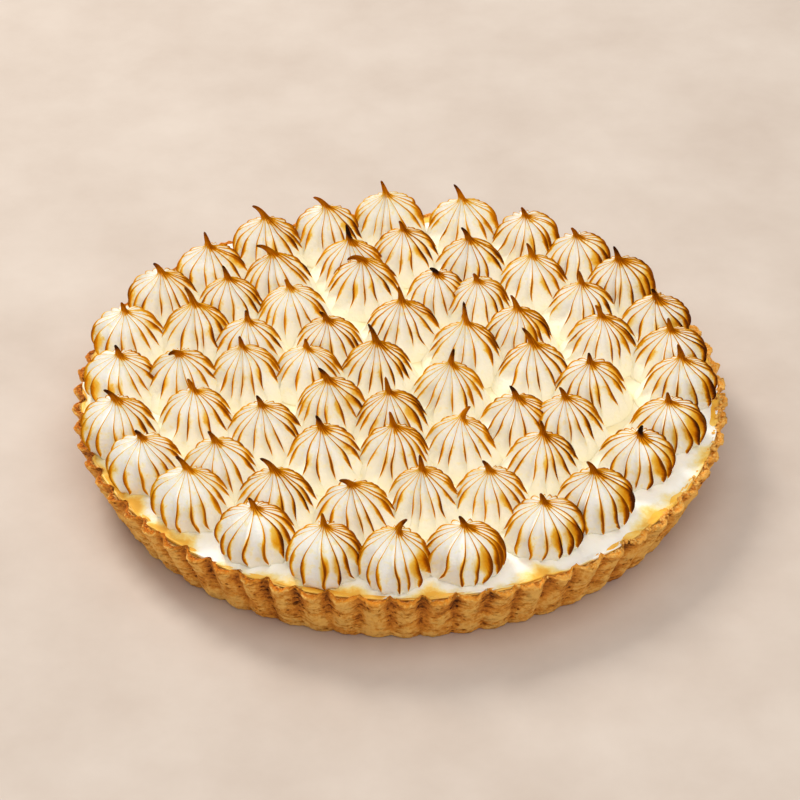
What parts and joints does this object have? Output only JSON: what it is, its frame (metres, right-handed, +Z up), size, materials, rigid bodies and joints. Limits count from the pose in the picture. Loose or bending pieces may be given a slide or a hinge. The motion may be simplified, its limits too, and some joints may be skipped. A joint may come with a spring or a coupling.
{
  "type": "lemon meringue tart",
  "caption": "Round fluted pastry tart filled with lemon, under a bed of meringue and rings of piped, torched meringue kisses.",
  "frame": {"origin": "middle of the tart's underside, on the surface it rests on", "axes": "+Z up through the tart; the tart is round, and -Y is the side turned to the viewer"},
  "size_m": [0.2799, 0.28, 0.0572],
  "materials": {
    "baked_pastry": "golden-brown baked shortcrust, dry and crumbly, darker in the grooves and along the top edge",
    "lemon_curd": "set lemon filling, golden yellow, smooth and slightly glossy",
    "meringue": "soft white to cream meringue, satin",
    "torched_meringue": "white meringue torched gold to dark brown along its ridges and peaks, satin"
  },
  "bodies": {
    "root": {"crust": "baked_pastry", "lemon_filling": "lemon_curd", "meringue_bed": "meringue", "kiss_middle": "torched_meringue", "kiss_ring_1": "torched_meringue", "kiss_ring_2": "torched_meringue", "kiss_ring_3": "torched_meringue", "kiss_ring_4": "torched_meringue"}
  },
  "joints": []
}
